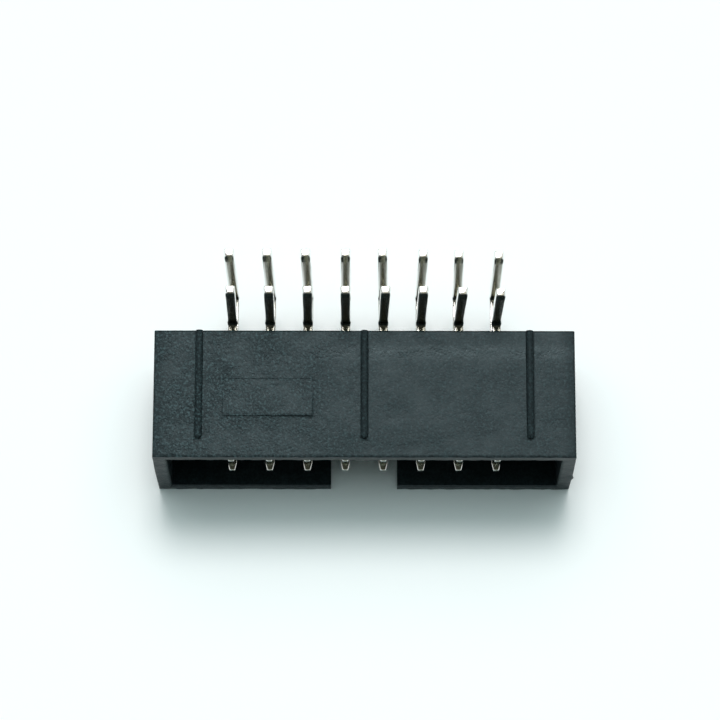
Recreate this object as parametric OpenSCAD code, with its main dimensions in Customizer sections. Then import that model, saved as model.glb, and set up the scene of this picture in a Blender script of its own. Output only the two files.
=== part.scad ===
// Right-angle box header: a moulded housing with two rows of bent square
// pins. It lies on its notched wall, with the solder tails pointing up.
// Units are millimetres. X runs along the rows, the mating face looks
// towards -Y, and Z = 0 is the face that the part rests on.

/* [Contacts] */
// Number of columns, each with one short and one long pin
columns = 8; // [3:1:20]
// Spacing of the columns, and of the two rows
pitch = 2.54; // [2.5:0.01:2.6]
// Side of the square pin wire
wire = 0.64; // [0.5:0.01:0.7]
// Radius on the long edges of the wire
wire_round = 0.08; // [0.04:0.01:0.12]
// Distance of the mating tips behind the mating face
tip_recess = 0.54; // [0:0.01:2]
// Length of the taper at a mating tip
tip_taper = 0.48; // [0.2:0.01:1]
// Side of the flat end of a mating tip
tip_end = 0.4; // [0.2:0.01:0.48]
// Height of the solder tails' ends above the resting face
tail_top = 12.8; // [11:0.1:16]
// Length of the bevel at a solder tail's end
tail_taper = 0.3; // [0.1:0.01:0.8]
// Side of the flat end of a solder tail
tail_end = 0.47; // [0.3:0.01:0.5]
// Distance of the nearer row of tails behind the housing
tail_back = 1.67; // [1:0.01:5]
// Inside radius of the right-angle bend
bend_inner = 0.25; // [0.1:0.01:0.5]

/* [Housing] */
// Height, across the two rows
housing_h = 8.9; // [8.5:0.1:10]
// Depth, from the mating face to the rear face
housing_d = 8.7; // [8:0.1:12]
// Distance from the last column to the end of the housing
end_margin = 5.08; // [4:0.01:8]
// Thickness of the ribbed wall on top
top_wall = 0.85; // [0.6:0.05:1.2]
// Thickness of the notched wall below
key_wall = 0.9; // [0.6:0.05:1.2]
// Thickness of the two end walls
end_wall = 0.9; // [0.6:0.05:1.5]
// Thickness of the rear wall, which holds the pins
rear_wall = 2.3; // [1.5:0.1:3]
// Radius on the long outer edges
edge_round = 0.12; // [0.05:0.01:0.3]
// Chamfer around the mouth of the cavity
mouth_chamfer = 0.1; // [0.05:0.01:0.3]
// Width of the polarizing notch
notch_w = 4.5; // [3:0.1:6]

/* [Standoff ribs] */
// Width of a rib
rib_w = 0.48; // [0.4:0.02:1]
// Height of a rib above the top wall
rib_h = 0.24; // [0.2:0.02:0.5]
// Radius along the top edges of a rib
rib_round = 0.21; // [0.05:0.01:0.23]
// Distance of a rib's rounded front end behind the mating face
rib_front = 1.27; // [0.5:0.01:3]
// Distance of the outer ribs from the ends of the housing
rib_inset = 3; // [2:0.1:4]

/* [Marking panel] */
// Width of the bare, slightly tilted panel on the top wall
panel_w = 5.96; // [2:0.01:6]
// Depth of the panel along the housing
panel_d = 2.55; // [1:0.01:3]
// How far the panel's front edge stands out
panel_rise = 0.09; // [0.02:0.01:0.15]
// How far the panel's back edge is sunk
panel_sink = 0.05; // [0.02:0.01:0.2]
// Distance of the panel's edge from the middle of the housing
panel_from_middle = 3.42; // [1:0.01:4]
// Distance of the panel behind the mating face
panel_front = 2.83; // [1:0.01:4]

/* [Hidden] */
fine = 32;
past = 1;
housing_w = (columns - 1) * pitch + 2 * end_margin;
lower_row_z = (housing_h - pitch) / 2;
upper_row_z = lower_row_z + pitch;
cavity_d = housing_d - rear_wall;
cavity_w = housing_w - 2 * end_wall;
cavity_h = housing_h - top_wall - key_wall;
cavity_z = key_wall + cavity_h / 2;
near_tail = housing_d + tail_back;
far_tail = near_tail + pitch;
bend_radius = bend_inner + wire / 2;
// The part is centred on its whole depth, housing and tails together.
front_y = -(far_tail + wire / 2) / 2;
plastic = [0.07, 0.085, 0.09];
tin = [0.78, 0.79, 0.8];

function column_x(i) = (i - (columns + 1) / 2) * pitch;

// A rectangle with rounded corners, centred on the origin.
module rounded_rectangle(w, h, r) {
    square([w - 2 * r, h], center = true);
    square([w, h - 2 * r], center = true);
    for (x = [-1, 1], y = [-1, 1])
        translate([x * (w / 2 - r), y * (h / 2 - r)]) circle(r, $fn = fine);
}

// Extrudes its 2D children along +Y, keeping their X, with their Y along -Z.
module along_y(length) {
    rotate([-90, 0, 0]) linear_extrude(length) children();
}

// A four-sided frustum along +Y, as the overlap of two wedges.
module frustum(start, end, length) {
    intersection() {
        linear_extrude(start[1] + end[1], center = true)
            polygon([
                [-start[0] / 2, 0], [start[0] / 2, 0],
                [end[0] / 2, length], [-end[0] / 2, length]
            ]);
        rotate([90, 0, 90])
            linear_extrude(start[0] + end[0], center = true)
                polygon([
                    [0, -start[1] / 2], [length, -end[1] / 2],
                    [length, end[1] / 2], [0, start[1] / 2]
                ]);
    }
}

module wire_section() {
    rounded_rectangle(wire, wire, wire_round);
}

// A straight wire along +Y from the origin, whose far end tapers.
module tapered_wire(length, taper, end) {
    along_y(length - taper) wire_section();
    translate([0, length - taper, 0])
        intersection() {
            along_y(taper) wire_section();
            frustum([wire, wire], [end, end], taper);
        }
}

// A pin from its mating tip, through the rear wall, round the bend and up.
module bent_pin(row_z, tail_y) {
    bend_start = tail_y - bend_radius;
    color(tin) {
        translate([0, bend_start, row_z])
            mirror([0, 1, 0]) tapered_wire(bend_start - tip_recess, tip_taper, tip_end);
        translate([0, bend_start, row_z + bend_radius])
            rotate([90, 0, 90]) rotate([0, 0, -90])
                rotate_extrude(angle = 90, $fn = fine)
                    translate([bend_radius, 0]) wire_section();
        translate([0, tail_y, row_z + bend_radius])
            rotate([90, 0, 0])
                tapered_wire(tail_top - row_z - bend_radius, tail_taper, tail_end);
    }
}

module short_pin(i) {
    translate([column_x(i), front_y, 0]) bent_pin(upper_row_z, near_tail);
}

module long_pin(i) {
    translate([column_x(i), front_y, 0]) bent_pin(lower_row_z, far_tail);
}

// The box itself, with its long edges rounded.
module block() {
    translate([0, 0, housing_h / 2])
        along_y(housing_d) rounded_rectangle(housing_w, housing_h, edge_round);
}

// The plug's space, with a chamfered mouth.
module cavity() {
    translate([-cavity_w / 2, -past, key_wall]) cube([cavity_w, cavity_d + past, cavity_h]);
    mouth = 2 * mouth_chamfer;
    translate([0, 0, cavity_z])
        frustum([cavity_w + mouth, cavity_h + mouth], [cavity_w, cavity_h], mouth_chamfer);
}

module key_notch() {
    translate([-notch_w / 2, -past, -past]) cube([notch_w, cavity_d + past, key_wall + 2 * past]);
}

// One square hole through the rear wall for each pin.
module pin_holes() {
    for (i = [1:columns], z = [lower_row_z, upper_row_z])
        translate([column_x(i) - wire / 2, cavity_d - past, z - wire / 2])
            cube([wire, rear_wall + 2 * past, wire]);
}

// A rib's section, from its root inside the wall to its rounded top.
module rib_section() {
    root = edge_round;
    translate([-rib_w / 2, -root]) square([rib_w, root + rib_h - rib_round]);
    translate([-rib_w / 2 + rib_round, -root]) square([rib_w - 2 * rib_round, root + rib_h]);
    for (side = [-1, 1])
        translate([side * (rib_w / 2 - rib_round), rib_h - rib_round])
            circle(rib_round, $fn = fine);
}

// A rib that runs to the rear edge and ends in a half round at the front.
module standoff_rib() {
    round_centre = rib_front + rib_w / 2;
    translate([0, round_centre, housing_h])
        rotate_extrude($fn = fine)
            intersection() {
                rib_section();
                translate([0, -past]) square([rib_w, 2 * past]);
            }
    translate([0, round_centre, housing_h])
        mirror([0, 0, 1]) along_y(housing_d - round_centre) rib_section();
}

// The space that the panel's sunk back needs, and the panel itself as a wedge.
module panel_recess() {
    translate([-panel_from_middle - panel_w, panel_front, housing_h - panel_sink])
        cube([panel_w, panel_d, past]);
}

module marking_panel() {
    root = edge_round;
    translate([-panel_from_middle - panel_w, panel_front, housing_h])
        rotate([90, 0, 90]) linear_extrude(panel_w)
            polygon([[0, -root], [panel_d, -root], [panel_d, -panel_sink], [0, panel_rise]]);
}

module housing() {
    color(plastic) translate([0, front_y, 0]) {
        difference() {
            block();
            cavity();
            key_notch();
            pin_holes();
            panel_recess();
        }
        marking_panel();
        for (side = [-1, 0, 1])
            translate([side * (housing_w / 2 - rib_inset), 0, 0]) standoff_rib();
    }
}

housing();
for (i = [1:columns]) {
    short_pin(i);
    long_pin(i);
}
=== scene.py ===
# Right-angle box header, lying on its notched wall with the solder tails up.
# Lengths in the dictionaries are millimetres, and mm turns them into scene units.
import math

import bmesh
import bpy
import numpy as np
from mathutils import Matrix, Vector


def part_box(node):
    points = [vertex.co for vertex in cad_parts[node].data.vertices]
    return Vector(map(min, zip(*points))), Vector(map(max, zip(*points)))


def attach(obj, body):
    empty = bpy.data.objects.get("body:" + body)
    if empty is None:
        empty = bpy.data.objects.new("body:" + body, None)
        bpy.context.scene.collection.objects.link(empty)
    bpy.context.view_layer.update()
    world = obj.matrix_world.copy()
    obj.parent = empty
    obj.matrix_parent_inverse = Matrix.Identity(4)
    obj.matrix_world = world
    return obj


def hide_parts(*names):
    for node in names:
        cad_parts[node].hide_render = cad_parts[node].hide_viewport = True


mm = 0.001
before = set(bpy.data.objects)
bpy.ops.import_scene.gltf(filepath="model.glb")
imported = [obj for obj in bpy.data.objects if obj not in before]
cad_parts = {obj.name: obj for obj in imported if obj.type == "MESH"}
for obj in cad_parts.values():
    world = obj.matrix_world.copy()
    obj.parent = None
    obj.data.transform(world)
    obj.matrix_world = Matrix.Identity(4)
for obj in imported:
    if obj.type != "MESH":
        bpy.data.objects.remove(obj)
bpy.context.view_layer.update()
print("frame loaded:", len(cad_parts), "nodes")


camera = {
    "elevation": 74.152,  # degrees above the table
    "azimuth": 0.139,  # degrees round from straight ahead
    "roll": 0.235,  # degrees
    "distance": 236.32,
    "nearest": 10.0,  # nothing nearer than this is seen
    "aim": (-0.291, 2.579, 0.0),  # the point on the table in the middle of the view
    "lens": 171.15,
    "sensor": 36.0,
}


def makeCamera(spec):
    data = bpy.data.cameras.new("camera")
    data.lens = spec["lens"]
    data.sensor_width = spec["sensor"]
    data.clip_start = spec["nearest"] * mm
    rise = math.radians(spec["elevation"])
    turn = math.radians(spec["azimuth"])
    back = Vector((
        -math.sin(turn) * math.cos(rise),
        -math.cos(turn) * math.cos(rise),
        math.sin(rise),
    ))
    item = bpy.data.objects.new("camera", data)
    bpy.context.scene.collection.objects.link(item)
    look = (-back).to_track_quat("-Z", "Y").to_matrix().to_4x4()
    place = Matrix.Translation((Vector(spec["aim"]) + back * spec["distance"]) * mm)
    item.matrix_world = place @ look @ Matrix.Rotation(math.radians(spec["roll"]), 4, "Z")
    bpy.context.scene.camera = item


makeCamera(camera)
print("camera placed")


class Value:
    # A socket that carries one number, so that shader maths reads as arithmetic.
    def __init__(self, shader, socket):
        self.shader = shader
        self.socket = socket

    def outputs(self):
        return {socket.name: Value(self.shader, socket) for socket in self.socket.node.outputs}

    def math(self, operation, *others):
        inputs = dict(enumerate((self,) + others))
        return self.shader.node("ShaderNodeMath", {"operation": operation}, inputs)

    def __add__(self, other):
        return self.math("ADD", other)

    def __mul__(self, other):
        return self.math("MULTIPLY", other)

    def __sub__(self, other):
        return self.math("SUBTRACT", other)

    def __rsub__(self, other):
        return self * -1.0 + other

    __radd__ = __add__
    __rmul__ = __mul__

    # 0 below low, 1 above high, and smooth between them
    def step(self, low, high):
        settings = {"interpolation_type": "SMOOTHSTEP"}
        inputs = {"Value": self, "From Min": low, "From Max": high, "To Min": 0.0, "To Max": 1.0}
        return self.shader.node("ShaderNodeMapRange", settings, inputs)

    # a smooth hump of height 1 at centre that fades out at reach on either side
    def hump(self, centre, reach):
        away = (self - centre).math("ABSOLUTE")
        return 1.0 - away.step(0.0, reach)


class Shader:
    # The nodes of one material or world, which all come from node().
    def __init__(self, owner):
        self.owner = owner
        owner.use_nodes = True
        self.tree = owner.node_tree
        self.tree.nodes.clear()

    def node(self, kind, settings=None, inputs=None, output=0):
        made = self.tree.nodes.new(kind)
        for key, value in (settings or {}).items():
            setattr(made, key, value)
        for key, value in (inputs or {}).items():
            if isinstance(value, Value):
                self.tree.links.new(value.socket, made.inputs[key])
            else:
                made.inputs[key].default_value = value
        return Value(self, made.outputs[output] if made.outputs else None)

    # the object's own coordinates, in millimetres
    def place(self):
        raw = self.node("ShaderNodeTexCoord", output=3)
        return self.stretch(raw, (1 / mm, 1 / mm, 1 / mm))

    def stretch(self, vector, scale):
        return self.node("ShaderNodeMapping", {}, {"Vector": vector, "Scale": scale})

    def axes(self, vector):
        parts = self.node("ShaderNodeSeparateXYZ", {}, {0: vector}).outputs()
        return parts["X"], parts["Y"], parts["Z"]

    def noise(self, vector, scale, detail=2.0, roughness=0.5):
        inputs = {"Vector": vector, "Scale": scale, "Detail": detail, "Roughness": roughness}
        return self.node("ShaderNodeTexNoise", {}, inputs)

    def blend(self, factor, first, second):
        inputs = {0: factor, 6: first, 7: second}
        return self.node("ShaderNodeMix", {"data_type": "RGBA"}, inputs, output=2)

    def bump(self, height, distance, normal=None):
        inputs = {"Height": height, "Distance": distance, "Strength": 1.0}
        if normal:
            inputs["Normal"] = normal
        return self.node("ShaderNodeBump", {}, inputs)

    def finish(self, surface, output="ShaderNodeOutputMaterial"):
        self.node(output, {}, {"Surface": surface})
        return self.owner


plastic = {
    "dark": (0.003, 0.005, 0.006, 1.0),
    "light": (0.011, 0.018, 0.020, 1.0),
    "fleck": (0.036, 0.060, 0.065, 1.0),
    "sheen": (0.72, 0.95, 1.0, 1.0),
    "specular": 0.25,
    "roughness": 0.42,
    "rearRoughness": 0.85,
    "ribRoughness": 0.22,  # how much rougher the ribs' tops are
    "endRoughness": 0.1,  # and the outsides of the end walls
    "bandGloss": 0.10,  # how much smoother the band over the rear wall is
    "cloudRoughness": 0.2,  # changes from patch to patch
    "grainRoughness": 0.25,  # and from grain to grain
    "grain": 6.0,  # grains in a millimetre
    "grainSpread": (0.3, 0.75),  # grain values at which the colour is dark and light
    "grainDepth": 0.034,
    "fleckSize": 1.1,  # flecks for each grain
    "fleckSpread": (0.46, 0.72),  # noise values at which flecks begin and are full
    "fleckElsewhere": 0.2,  # strength of the flecks away from the ribbed wall
    "ripple": 2.4,  # ripples in a millimetre
    "rippleDepth": 0.032,
    "cloud": 0.45,  # clouds in a millimetre
    "fineRight": 0.62,  # how much finer the grain becomes towards the right
    "patchy": (0.55, 0.7),  # least strength of the grain in a cloud, and its range
    "bandInset": 1.5,  # from the rear face to the middle of the smoother band
    "bandReach": 0.75,  # half width of that band
}


# Dark plastic with a paler grain, and with flecks that are strongest on the ribbed wall
# and at its left. The masks are steps along the axes of the housing's own box.
def makePlastic(spec):
    low, high = (np.array(corner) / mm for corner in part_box("housing"))
    shader = Shader(bpy.data.materials.new("slatePlastic"))
    place = shader.place()
    x, y, z = shader.axes(place)
    cloud = shader.noise(place, spec["cloud"], 3.0, 0.55)
    grain = shader.noise(place, spec["grain"], 2.0, 0.6)
    fleck = shader.noise(place, spec["grain"] * spec["fleckSize"], 2.0, 0.6)
    ripple = shader.noise(place, spec["ripple"], 2.0, 0.5)
    least, more = spec["patchy"]
    coarse = 1.0 - x.step(low[0] * 0.75, high[0] * 0.2) * spec["fineRight"]
    coarse = coarse * (cloud.step(0.3, 0.7) * more + least)
    band = y.hump(high[1] - spec["bandInset"], spec["bandReach"])
    band = band * x.step(low[0] * 0.45, high[0] * 0.1)
    ends = x.math("ABSOLUTE").step(high[0] - 1.0, high[0])
    rear = y.step(high[1] - 0.12, high[1] - 0.03)
    ribs = z.step(high[2] - 0.15, high[2] - 0.10)
    ribbed = z.step(high[2] - 0.5, high[2] - 0.3)
    ribbed = ribbed * (1 - spec["fleckElsewhere"]) + spec["fleckElsewhere"]
    flecks = fleck.step(*spec["fleckSpread"]) * coarse * ribbed
    colour = shader.blend(grain.step(*spec["grainSpread"]), spec["dark"], spec["light"])
    colour = shader.blend(flecks, colour, spec["fleck"])
    rough = (cloud - 0.5) * spec["cloudRoughness"] + (grain - 0.5) * spec["grainRoughness"]
    rough = rough - band * spec["bandGloss"] + ends * spec["endRoughness"] + spec["roughness"]
    rough = rough + rear * (spec["rearRoughness"] - spec["roughness"]) + ribs * spec["ribRoughness"]
    fine = shader.bump(grain * coarse, spec["grainDepth"] * mm)
    surface = shader.node("ShaderNodeBsdfPrincipled", {}, {
        "Base Color": colour,
        "Roughness": rough,
        "Specular IOR Level": spec["specular"],
        "Specular Tint": spec["sheen"],
        "Normal": shader.bump(ripple * coarse, spec["rippleDepth"] * mm, fine),
    })
    return shader.finish(surface)


slatePlastic = makePlastic(plastic)
print("plastic made")


housing = {
    "edge": 0.03,  # radius on the outer edges
    "fineEdge": 0.015,  # radius on the inner edges
    "edgeSteps": 2,
    "sharp": 40.0,  # degrees between faces from which an edge is rounded
    "rim": 0.2,  # how near an outer edge lies to the sides of the box
    "cell": 0.22,  # spacing of the cuts that let the faces bend
    "ribs": 0.24,  # how far the ribs stand above their wall
    "skin": (0.7, 0.4),  # depths below the ribs' tops where faults of that wall fade in
    # the end walls swell outwards, most at this height, over this length from the front
    "swell": {"size": 0.04, "length": 4.0, "wall": (1.2, 0.6), "height": 4.6, "reach": 2.6},
    "waves": {"size": 0.012, "long": 2.2, "short": 0.9},
    "sink": {"depth": 0.02, "inset": 1.9, "reach": 0.45},  # line over the rear wall's inner face
    "panel": {
        "x": (-9.38, -3.42),
        "depth": (2.83, 5.38),  # from the mating face
        "margin": 0.05,
        "left": 0.4,  # share of its height that the panel keeps at its left end
        "back": 0.25,  # and of its depth at the back
    },
    "weld": {
        "depth": 0.012,
        "back": 1.85,  # from the mating face, away from the bow
        "bow": 1.0,
        "x": 2.3,
        "reach": 3.2,
        "fade": 6.5,
        "edge": 0.12,
        "width": 1.2,
    },
    "ragged": {"size": 0.022, "depth": 0.12, "grain": 0.35},  # the mating face's edge
    "burr": {"size": 0.14, "height": 3.2, "reach": 0.3, "depth": 0.25, "grain": 0.16},
}


# A copy of a CAD node's mesh with its doubles merged and its flat faces joined.
def mergedCopy(node):
    shape = bmesh.new()
    shape.from_mesh(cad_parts[node].data)
    bmesh.ops.remove_doubles(shape, verts=shape.verts, dist=0.0005 * mm)
    bmesh.ops.dissolve_limit(
        shape, angle_limit=math.radians(0.5), use_dissolve_boundaries=False,
        verts=shape.verts, edges=shape.edges,
    )
    return shape


# The merged housing with its edges rounded, the outer ones more than the inner ones.
def roundedShape(spec):
    low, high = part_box("housing")
    shape = mergedCopy("housing")
    weight = shape.edges.layers.float.new("bevel_weight_edge")
    rim = spec["rim"] * mm
    for edge in shape.edges:
        if len(edge.link_faces) != 2 or edge.calc_face_angle() < math.radians(spec["sharp"]):
            continue
        ends = [vertex.co for vertex in edge.verts]
        beside = all(
            min(abs(p.x - low.x), abs(p.x - high.x), abs(p.z - low.z), abs(p.z - high.z)) < rim
            for p in ends
        )
        behind = all(abs(p.z - high.z) < 2 * rim and abs(p.y - high.y) < rim for p in ends)
        outer = beside or behind
        edge[weight] = 1.0 if outer else spec["fineEdge"] / spec["edge"]
    mesh = bpy.data.meshes.new("sharpHousing")
    shape.to_mesh(mesh)
    shape.free()
    item = bpy.data.objects.new("sharpHousing", mesh)
    bpy.context.scene.collection.objects.link(item)
    bevel = item.modifiers.new("edges", "BEVEL")
    bevel.limit_method = "WEIGHT"
    bevel.width = spec["edge"] * mm
    bevel.segments = spec["edgeSteps"]
    bevel.use_clamp_overlap = False
    rounded = item.evaluated_get(bpy.context.evaluated_depsgraph_get())
    shape = bmesh.new()
    shape.from_mesh(rounded.to_mesh())
    bpy.data.objects.remove(item)
    bpy.data.meshes.remove(mesh)
    return shape


# Cuts every face along planes one cell apart in each direction.
def cutIntoCells(shape, spec):
    low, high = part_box("housing")
    for axis in range(3):
        normal = Vector([float(axis == other) for other in range(3)])
        count = int((high[axis] - low[axis]) / (spec["cell"] * mm))
        for place in np.linspace(low[axis], high[axis], count + 2)[1:-1]:
            bmesh.ops.bisect_plane(
                shape, geom=shape.verts[:] + shape.edges[:] + shape.faces[:],
                dist=0.0001 * mm, plane_co=normal * place, plane_no=normal,
            )


# Random values at the corners of cubes of one size, blended smoothly in between. A
# corner's place, multiplied by three primes and summed, picks its value from a table.
def softNoise(points, size, seed):
    table = np.random.default_rng(seed).uniform(-1, 1, 4093)
    cell = np.floor(points / size).astype(np.int64)
    part = points / size - cell
    part = part * part * (3 - 2 * part)
    total = np.zeros(len(points))
    for corner in np.ndindex(2, 2, 2):
        key = (cell + corner) @ np.array([1, 97, 1301]) % len(table)
        total += table[key] * np.prod(np.where(corner, part, 1 - part), axis=1)
    return total


# 0 at start and 1 at end, with the smooth step 3p2 - 2p3 in between
def fade(values, start, end):
    part = np.clip((values - start) / (end - start), 0, 1)
    return part * part * (3 - 2 * part)


# e to the power of minus the square of the distance from centre, counted in reaches
def bell(values, centre, reach):
    return np.exp(-(((values - centre) / reach) ** 2))


# The moulding's small faults. The end walls swell as a bell over their height that fades
# towards the back, the faces carry slow waves, a groove as a bell lies over the rear
# wall's inner face, the panel flattens towards its left and back, a weld line bows as a
# bell towards the mating face, whose edge is ragged, and one edge has a burr.
def mouldFaults(points, spec):
    low, high = (np.array(corner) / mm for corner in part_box("housing"))
    x, y, z = points.T
    depth = y - low[1]
    moved = points.copy()
    top = fade(z, high[2] - spec["skin"][0], high[2] - spec["skin"][1])

    swell = spec["swell"]
    wall = fade(np.abs(x), high[0] - swell["wall"][0], high[0] - swell["wall"][1])
    front = fade(depth, swell["length"], 0)
    moved[:, 0] += np.sign(x) * wall * swell["size"] * front * bell(z, swell["height"], swell["reach"])

    panel = spec["panel"]
    inside = (x > panel["x"][0] - panel["margin"]) & (x < panel["x"][1] + panel["margin"])
    inside &= (depth > panel["depth"][0] - panel["margin"]) & (depth < panel["depth"][1] + panel["margin"])
    inside &= z > high[2] - spec["skin"][1]
    height = z - (high[2] - spec["ribs"])
    left = panel["left"] + (1 - panel["left"]) * fade(x, *panel["x"])
    keep = np.where(height > 0, left, panel["back"])
    moved[:, 2] += np.where(inside, height * (keep - 1), 0)

    waves = softNoise(points, spec["waves"]["long"], 3) + 0.5 * softNoise(points, spec["waves"]["short"], 4)
    moved[:, 2] += spec["waves"]["size"] * waves * top

    sink = spec["sink"]
    band = bell(y, high[1] - sink["inset"], sink["reach"]) * (0.5 + 0.5 * fade(x, low[0] * 0.5, 0.0))
    moved[:, 2] -= sink["depth"] * band * top

    weld = spec["weld"]
    line = weld["back"] - weld["bow"] * bell(x, weld["x"], weld["reach"])
    fall = fade(depth, line + weld["edge"], line - weld["edge"])
    fall = fall * fade(depth, line - weld["width"], line - weld["edge"])
    moved[:, 2] -= weld["depth"] * fall * bell(x, weld["x"], weld["fade"]) * top

    ragged = spec["ragged"]
    rim = fade(depth, ragged["depth"], 0)
    moved[:, 1] += ragged["size"] * rim * (softNoise(points, ragged["grain"], 5) + 0.5)

    burr = spec["burr"]
    lump = bell(z, burr["height"], burr["reach"]) * bell(depth, 0, burr["depth"])
    lump *= fade(x, high[0] - 0.3, high[0] - 0.1) * (0.75 + 0.5 * softNoise(points, burr["grain"], 6))
    moved[:, 0] += burr["size"] * lump
    return moved


# The rounded housing cut into cells and bent by the faults of its moulding.
def makeHousing(spec):
    shape = roundedShape(spec)
    cutIntoCells(shape, spec)
    mesh = bpy.data.meshes.new("housingShell")
    shape.to_mesh(mesh)
    shape.free()
    points = np.empty(len(mesh.vertices) * 3, np.float32)
    mesh.vertices.foreach_get("co", points)
    moved = mouldFaults(points.reshape(-1, 3).astype(float) / mm, spec)
    mesh.vertices.foreach_set("co", (moved * mm).ravel().astype(np.float32))
    item = bpy.data.objects.new("housingShell", mesh)
    bpy.context.scene.collection.objects.link(item)
    mesh.materials.append(slatePlastic)
    mesh.shade_smooth()
    flat = item.modifiers.new("flatFaces", "WEIGHTED_NORMAL")
    flat.keep_sharp = True
    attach(item, "root")
    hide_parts("housing")
    print("housing faces:", len(mesh.polygons))


makeHousing(housing)
print("housing made")


pins = {
    "columns": 8,
    "side": 0.64,
    "corner": 0.08,
    "cornerShare": 0.4,  # most of the half width that a corner's radius takes at the ends
    "cornerSteps": 5,
    "bendInner": 0.25,
    "bendSteps": 14,
    "bulge": 0.14,  # share by which the bend's inner side spreads
    "bulgePlace": 0.75,  # share of the bend at which it spreads most
    "bulgeReach": 0.45,  # share of the bend over which the spreading fades
    "tipTaper": 0.48,
    "tipEnd": 0.40,
    "tailTaper": 0.3,
    "tailEnd": 0.47,
    "endRound": 0.03,
    "endSteps": 5,
    "runSteps": 8,
    "riseSteps": 10,
    "sharp": 50.0,  # degrees from which an edge isn't smoothed over
    # how far each tail's end leans to the right, and forward, from the first column on
    "shortRight": (0.05, 0.05, 0.05, 0.0, 0.1, 0.05, 0.1, 0.05),
    "shortForward": (0.0, 0.0, 0.0, 0.0, 0.0, 0.0, 0.05, 0.15),
    "longRight": (-0.05, -0.1, -0.1, 0.0, -0.1, 0.05, -0.15, -0.05),
    "longForward": (0.0, 0.0, 0.0, 0.0, 0.0, 0.05, 0.1, 0.15),
}

tin = {
    "plated": (0.80, 0.80, 0.77, 1.0),
    "shearedAndShaded": (0.36, 0.36, 0.29, 1.0),  # the upper and lower sides, cut from the strip; their dark colour is painted shade that stands in for the dark reflections on the tails' fronts
    "upper": ((0.15, 0.25), (0.9, 1.0)),  # where that side starts and ends, in wire sides
    "lower": ((2.05, 2.15), (2.8, 2.9)),
    "roughness": 0.10,
    "shearedRoughness": 0.22,
    "lines": 9.0,  # drawing lines in a millimetre round the wire
    "linesAlong": 0.6,  # and along it
    "lineDepth": 0.0004,
    "cloud": 1.5,  # clouds in a millimetre
}


# Bright tin with fine lines along the wire, and a darker colour on the sheared sides, which is painted
# shade:
# on the tails those sides face the front and back, where the colour stands in for dark reflections. The
# first coordinate of the wire's own map runs round it in millimetres, from the middle of a corner, and the
# second runs along it.
def makeTin(spec):
    shader = Shader(bpy.data.materials.new("brightTin"))
    around = shader.node("ShaderNodeUVMap", {"uv_map": "wire"})
    turn = shader.axes(around)[0] * (1 / pins["side"])
    (upperStart, upperEnd), (lowerStart, lowerEnd) = spec["upper"], spec["lower"]
    upper = turn.step(*upperStart) - turn.step(*upperEnd)
    lower = turn.step(*lowerStart) - turn.step(*lowerEnd)
    shearedAndShaded = upper + lower
    lines = shader.noise(shader.stretch(around, (spec["lines"], spec["linesAlong"], 1.0)), 1.0)
    cloud = shader.noise(shader.place(), spec["cloud"])
    # painted shade: the sheared sides, which on the tails face the front, get the darker colour
    tone = shearedAndShaded * (lines * 0.5 + cloud * 0.6 + 0.4).math("MINIMUM", 1.0)
    blur = (spec["shearedRoughness"] - spec["roughness"]) * shearedAndShaded + spec["roughness"]
    surface = shader.node("ShaderNodeBsdfPrincipled", {}, {
        "Base Color": shader.blend(tone, spec["plated"], spec["shearedAndShaded"]),
        "Metallic": 1.0,
        "Roughness": lines * 0.08 + cloud * 0.06 + blur - 0.07,
        "Normal": shader.bump(lines, spec["lineDepth"] * mm),
    })
    return shader.finish(surface)


brightTin = makeTin(tin)
print("tin made")


# Half width of the wire at each distance from its start: a straight taper at either
# end, and a quarter round where the taper meets the end face.
def halfWidth(spec, along, length):
    full = spec["side"] / 2
    tip = np.clip(along / spec["tipTaper"], 0, 1)
    tail = np.clip((length - along) / spec["tailTaper"], 0, 1)
    half = np.minimum(
        spec["tipEnd"] / 2 + (full - spec["tipEnd"] / 2) * tip,
        spec["tailEnd"] / 2 + (full - spec["tailEnd"] / 2) * tail,
    )
    near = np.minimum(along, length - along)
    depth = np.clip(1 - near / spec["endRound"], 0, 1)
    return half - spec["endRound"] * (1 - np.sqrt(1 - depth**2))


# A square with rounded corners, one row of points for each half width: the corner
# centres, each with a quarter circle round it.
def roundedSquare(spec, half):
    steps = spec["cornerSteps"]
    turn = np.linspace(0, math.pi / 2, steps)
    angle = (turn[None, :] + np.arange(4)[:, None] * math.pi / 2).ravel()
    side = np.repeat(np.array([[1, 1], [-1, 1], [-1, -1], [1, -1]], float), steps, axis=0)
    radius = np.minimum(spec["corner"], half * spec["cornerShare"])[:, None]
    across = side[None, :, 0] * (half[:, None] - radius) + radius * np.cos(angle)
    up = side[None, :, 1] * (half[:, None] - radius) + radius * np.sin(angle)
    return across, up


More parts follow.
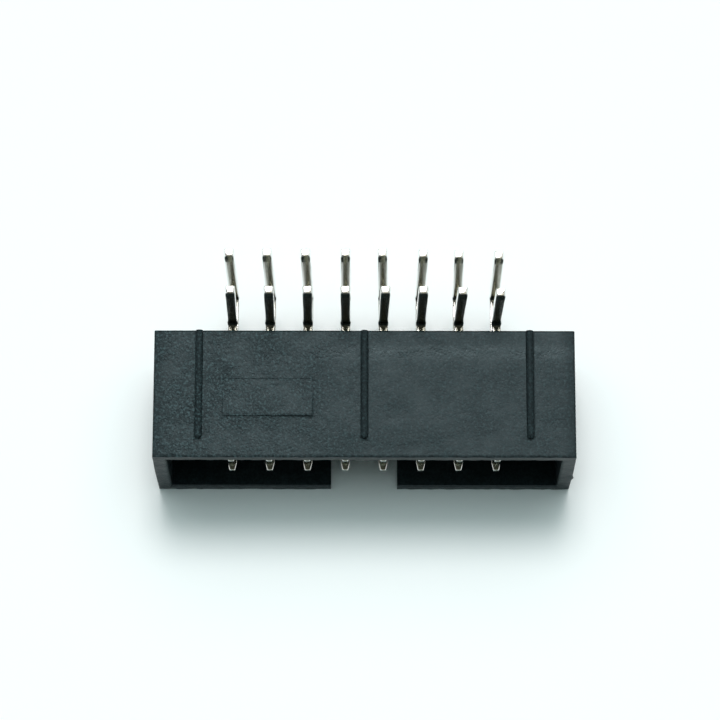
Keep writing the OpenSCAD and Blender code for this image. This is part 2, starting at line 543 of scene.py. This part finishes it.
# The wire's section carried along a straight run, a quarter circle and a second
# straight run, which leans evenly. Where it bends, the side towards the bend's centre
# spreads as a bell and the other side narrows.
def makePin(name, node, spec, lean):
    low, high = (np.array(corner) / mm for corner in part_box(node))
    half = spec["side"] / 2
    radius = spec["bendInner"] + half
    middle = (low[0] + high[0]) / 2
    run = high[1] - half - radius - low[1]
    rise = high[2] - low[2] - half - radius
    arc = radius * math.pi / 2
    length = run + arc + rise
    rounding = spec["endRound"] * (1 - np.cos(np.linspace(0, math.pi / 2, spec["endSteps"])))
    along = np.concatenate([
        rounding,
        [spec["tipTaper"]],
        np.linspace(spec["tipTaper"], run, spec["runSteps"])[1:],
        run + arc * np.linspace(0, 1, spec["bendSteps"])[1:],
        run + arc + np.linspace(0, rise - spec["tailTaper"], spec["riseSteps"])[1:],
        length - rounding[::-1],
    ])
    angle = np.clip((along - run) / radius, 0, math.pi / 2)
    y = low[1] + np.minimum(along, run) + radius * np.sin(angle)
    z = low[2] + half + radius * (1 - np.cos(angle)) + np.maximum(along - run - arc, 0)
    across, up = roundedSquare(spec, halfWidth(spec, along, length))
    strain = bell(along, run + arc * spec["bulgePlace"], arc * spec["bulgeReach"])
    across = across * (1 + spec["bulge"] * strain[:, None] * up / half)
    raised = np.clip((along - run - arc) / rise, 0, 1)[:, None]
    points = np.stack([
        middle + across + lean[0] * raised,
        y[:, None] - up * np.sin(angle)[:, None] - lean[1] * raised,
        z[:, None] + up * np.cos(angle)[:, None],
    ], axis=-1)
    wireMesh(name, node, points, along)


# Closes a grid of rings into a tube with a face at each end. Its map holds the distance
# round the wire and the distance along it.
def wireMesh(name, node, points, along):
    rings, sides = points.shape[:2]
    ring, side = np.meshgrid(np.arange(rings - 1), np.arange(sides), indexing="ij")
    steps = np.array([[0, 0], [0, 1], [1, 1], [1, 0]])
    row = ring.reshape(-1, 1) + steps[:, 0]
    column = side.reshape(-1, 1) + steps[:, 1]
    quads = row * sides + column % sides
    first = np.arange(sides)[::-1]
    last = np.arange(sides)
    faces = quads.tolist() + [first.tolist(), (last + (rings - 1) * sides).tolist()]
    mesh = bpy.data.meshes.new(name)
    mesh.from_pydata((points.reshape(-1, 3) * mm).tolist(), [], faces)
    middle = points[rings // 2]
    gaps = np.linalg.norm(np.roll(middle, -1, axis=0) - middle, axis=1)
    around = np.concatenate([[0], np.cumsum(gaps)])
    turn = np.concatenate([around[column.ravel()], around[first], around[last]])
    length = np.concatenate([along[row.ravel()], np.full(sides, along[0]), np.full(sides, along[-1])])
    layer = mesh.uv_layers.new(name="wire")
    layer.data.foreach_set("uv", np.stack([turn, length], axis=-1).ravel().astype(np.float32))
    mesh.materials.append(brightTin)
    mesh.shade_smooth()
    mesh.set_sharp_from_angle(angle=math.radians(pins["sharp"]))
    item = bpy.data.objects.new(name, mesh)
    bpy.context.scene.collection.objects.link(item)
    flat = item.modifiers.new("flatFaces", "WEIGHTED_NORMAL")
    flat.keep_sharp = True
    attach(item, "root")
    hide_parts(node)


for column in range(pins["columns"]):
    number = column + 1
    shortLean = (pins["shortRight"][column], pins["shortForward"][column])
    longLean = (pins["longRight"][column], pins["longForward"][column])
    makePin(f"shortPinWire_{number}", f"short_pin_{number}", pins, shortLean)
    makePin(f"longPinWire_{number}", f"long_pin_{number}", pins, longLean)
print("pins made:", pins["columns"] * 2)


table = {"reach": 3000.0, "colour": (0.95, 0.95, 0.95, 1.0)}

# Three soft sources on the tails' side: degrees from overhead, degrees across, and the
# share of a full white that each gives the table. Only the softbox shows in reflections.
lamps = {
    "softbox": {"tilt": 23.0, "spread": 22.0, "share": 0.42, "colour": (1.0, 0.97, 0.97)},
    "spill": {"tilt": 20.0, "spread": 72.0, "share": 0.50, "colour": (1.0, 1.0, 1.0)},
    "skylight": {"tilt": 8.0, "spread": 50.0, "share": 0.15, "colour": (0.35, 1.0, 0.98)},
}
surroundings = {
    "fill": (0.05, 0.07, 0.07, 1.0),  # what lights the object
    "walls": (1.0, 1.0, 1.0, 1.0),  # what the camera and reflections see low down
    "ceiling": (0.07, 0.075, 0.062, 1.0),  # and overhead
    "wallTop": (0.35, 0.75),  # sines of the heights where the walls fade out
}


def makeTable(spec):
    half = spec["reach"] * mm / 2
    corners = [(-half, -half, 0), (half, -half, 0), (half, half, 0), (-half, half, 0)]
    mesh = bpy.data.meshes.new("table")
    mesh.from_pydata(corners, [], [(0, 1, 2, 3)])
    item = bpy.data.objects.new("table", mesh)
    bpy.context.scene.collection.objects.link(item)
    shader = Shader(bpy.data.materials.new("whiteTable"))
    matt = shader.node("ShaderNodeBsdfDiffuse", {}, {"Color": spec["colour"]})
    mesh.materials.append(shader.finish(matt))


def makeLamp(name, spec):
    data = bpy.data.lights.new(name, "SUN")
    data.angle = math.radians(spec["spread"])
    data.color = spec["colour"]
    data.energy = spec["share"] * math.pi / math.cos(math.radians(spec["tilt"]))
    item = bpy.data.objects.new(name, data)
    bpy.context.scene.collection.objects.link(item)
    item.rotation_euler = (-math.radians(spec["tilt"]), 0, 0)
    item.visible_glossy = name == "softbox"


def makeSurroundings(spec):
    shader = Shader(bpy.data.worlds.new("surroundings"))
    rays = shader.node("ShaderNodeLightPath").outputs()
    seen = rays["Is Camera Ray"].math("MAXIMUM", rays["Is Glossy Ray"])
    seen = seen.math("MAXIMUM", rays["Is Transmission Ray"])
    direction = shader.node("ShaderNodeTexCoord").outputs()["Generated"]
    height = shader.node("ShaderNodeSeparateXYZ", {}, {0: direction}).outputs()["Z"]
    room = shader.blend(height.step(*spec["wallTop"]), spec["walls"], spec["ceiling"])
    colour = shader.blend(seen, spec["fill"], room)
    light = shader.node("ShaderNodeBackground", {}, {"Color": colour})
    bpy.context.scene.world = shader.finish(light, "ShaderNodeOutputWorld")


makeTable(table)
for name, spec in lamps.items():
    makeLamp(name, spec)
makeSurroundings(surroundings)
bpy.context.scene.view_settings.view_transform = "Standard"
print("table and light made")
